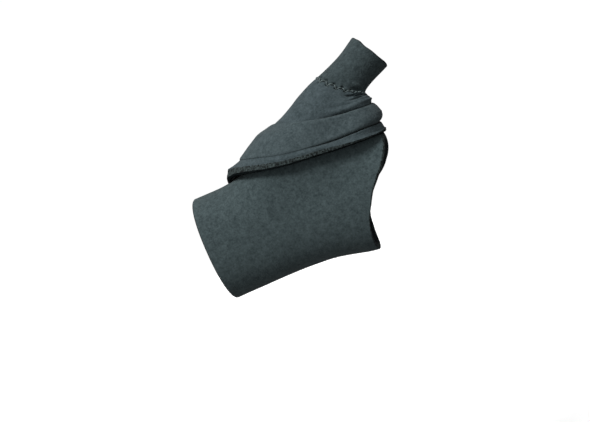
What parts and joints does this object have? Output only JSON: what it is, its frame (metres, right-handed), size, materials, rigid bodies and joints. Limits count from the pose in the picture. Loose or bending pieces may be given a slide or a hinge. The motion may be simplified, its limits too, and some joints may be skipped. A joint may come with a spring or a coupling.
{
  "type": "thumb spica splint",
  "caption": "Padded cloth splint for a left wrist and thumb, shaped as worn: open wrist tunnel, thumb panel with a thick flared lip, stitched thumb sleeve and a strap round the thumb's base.",
  "frame": {"origin": "middle of the wrist tunnel at the wrist crease, where the splint sits on the wrist", "axes": "+X along the forearm towards the fingers, +Z to the thumb's side of the wrist, +Y to the back of the hand"},
  "size_m": [0.1295, 0.0489, 0.1137],
  "materials": {
    "wrist_wrap": "matt",
    "thumb_panel": "matt",
    "thumb_sleeve": "matt",
    "thumb_strap": "matt"
  },
  "bodies": {
    "root": {"wrist_wrap": "wrist_wrap", "thumb_panel": "thumb_panel", "thumb_sleeve": "thumb_sleeve", "thumb_strap": "thumb_strap"}
  },
  "joints": []
}
